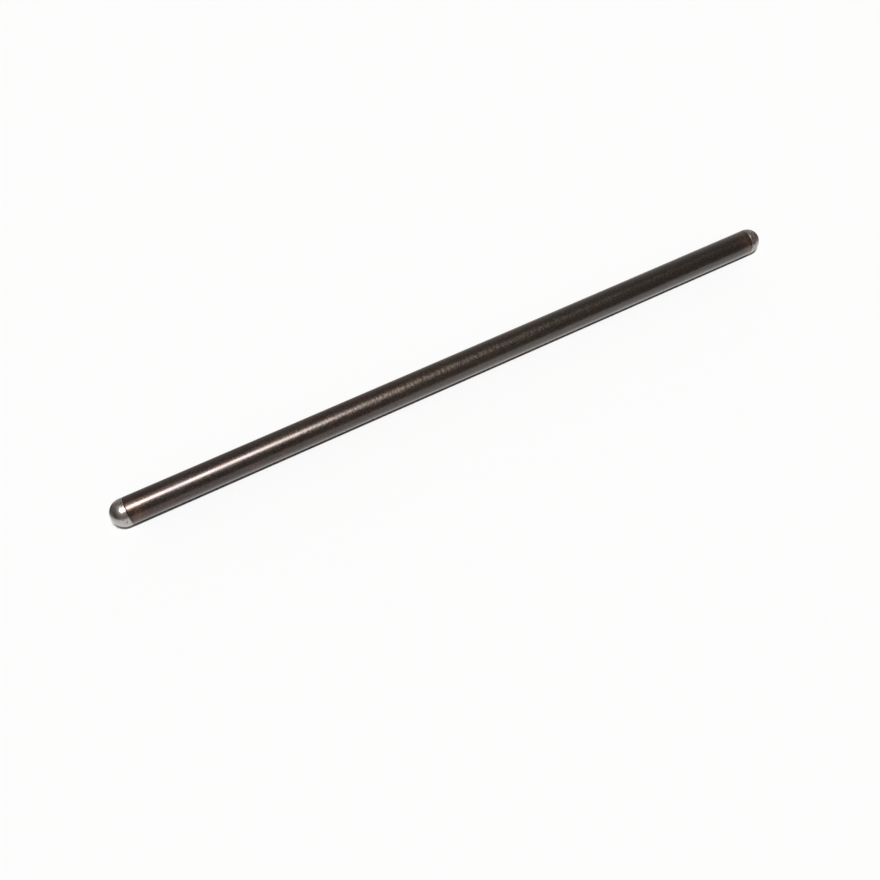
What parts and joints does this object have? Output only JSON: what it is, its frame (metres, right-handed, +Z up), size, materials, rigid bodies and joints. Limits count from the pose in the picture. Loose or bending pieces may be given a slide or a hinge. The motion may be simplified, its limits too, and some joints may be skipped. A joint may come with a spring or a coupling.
{
  "type": "engine pushrod",
  "caption": "Slim steel pushrod: a dark tube with a bright ball end fixed in each mouth and an oil passage along its axis, passing lift from a valve lifter to a rocker arm.",
  "frame": {"origin": "on the axis of the rod, midway between the two noses", "axes": "+X along the rod from the lifter end to the rocker end, +Z up, with the rod lying level"},
  "size_m": [0.2184, 0.008, 0.008],
  "materials": {
    "dark_tube_steel": "satin",
    "bright_ball_steel": "polished"
  },
  "bodies": {
    "root": {"tube": "dark_tube_steel", "lifter_ball_end": "bright_ball_steel", "rocker_ball_end": "bright_ball_steel"}
  },
  "joints": []
}
